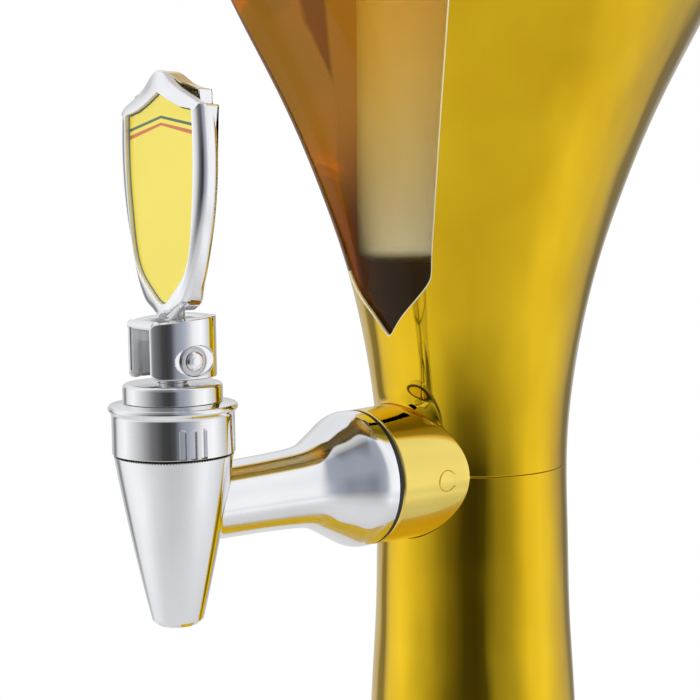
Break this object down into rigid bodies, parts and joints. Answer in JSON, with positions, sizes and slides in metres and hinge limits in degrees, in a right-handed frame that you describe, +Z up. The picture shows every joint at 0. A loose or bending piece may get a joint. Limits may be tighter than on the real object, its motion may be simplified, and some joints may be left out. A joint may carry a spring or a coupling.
{
  "type": "beer tower dispenser",
  "caption": "Tabletop drinks tower: slim-waisted gold column with a weighted foot, windowed clear tank, hanging ice tube, lid and a plunger tap with tilting shield handle.",
  "frame": {"origin": "centre of the foot pad's underside, on the tower axis", "axes": "+Z up the tower axis, -Y out along the tap"},
  "size_m": [0.2092, 0.246, 0.5153],
  "materials": {
    "gold_plating": "vacuum-plated mirror gold",
    "chrome": "polished",
    "brushed_chrome": "satin turned",
    "steel": "zinc plated",
    "cast_iron": "as cast, blackened",
    "black_rubber": "matt",
    "silicone": "translucent",
    "black_plastic": "moulded",
    "black_gloss": "moulded, gloss",
    "clear_plastic": "clear moulded",
    "clear_tube": "frosted",
    "yellow_panel": "gloss, two plain stripes"
  },
  "bodies": {
    "tower": {"foot_pad": "black_rubber", "base_plate": "steel", "ballast_disc": "cast_iron", "column_tube": "steel", "tie_rod": "steel", "tie_washer": "steel", "tie_nut": "steel", "tank_cradle": "black_plastic", "lower_shell": "gold_plating", "base_screws": "steel", "tank": "clear_plastic", "waist_sleeve": "black_plastic", "upper_shell": "gold_plating", "rim_ring": "gold_plating", "tap_collar": "gold_plating", "collar_set_screw": "steel", "collar_plug": "gold_plating", "tap_gasket": "black_rubber", "tap_body": "chrome", "tap_shank": "steel", "shank_washer": "silicone", "shank_nut": "steel", "bonnet_collar": "brushed_chrome", "neck_bush": "brushed_chrome", "rod_oring": "black_rubber"},
    "plunger": {"plunger_rod": "steel", "plunger_seal": "silicone", "seal_clip": "steel", "plunger_spring": "steel"},
    "lever": {"lever_fork": "chrome", "pivot_pin": "chrome", "pivot_washers": "chrome", "front_pin": "chrome", "handle_front": "chrome", "handle_back": "chrome", "handle_stud": "steel", "label_panel": "yellow_panel"},
    "lid": {"lid": "black_gloss", "lid_gasket": "silicone", "ice_tube": "clear_tube"},
    "cap": {"ice_cap": "black_gloss", "cap_oring": "silicone", "cap_knob": "chrome", "knob_screw": "steel"}
  },
  "joints": [
    {"name": "plunger_lift", "type": "slide", "parent": "tower", "child": "plunger", "axis": [0, 0, 1], "range_m": [0, 0.003], "deforming": ["plunger_spring"]},
    {"name": "lever_tilt", "type": "hinge", "parent": "plunger", "child": "lever", "pos_m": [0, -0.1217, 0.2701], "axis": [1, 0, 0], "range_deg": [0, 30], "stiffness_Nm_per_rad": 0.5, "springref_deg": -5.73},
    {"name": "lid_lift", "type": "slide", "parent": "tower", "child": "lid", "axis": [0, 0, 1], "range_m": [0, 0.26]},
    {"name": "cap_lift", "type": "slide", "parent": "lid", "child": "cap", "axis": [0, 0, 1], "range_m": [0, 0.08]}
  ],
  "couplings": [
    {"joint": "plunger_lift", "follows": "lever_tilt", "m_per_rad": 0.0054}
  ]
}
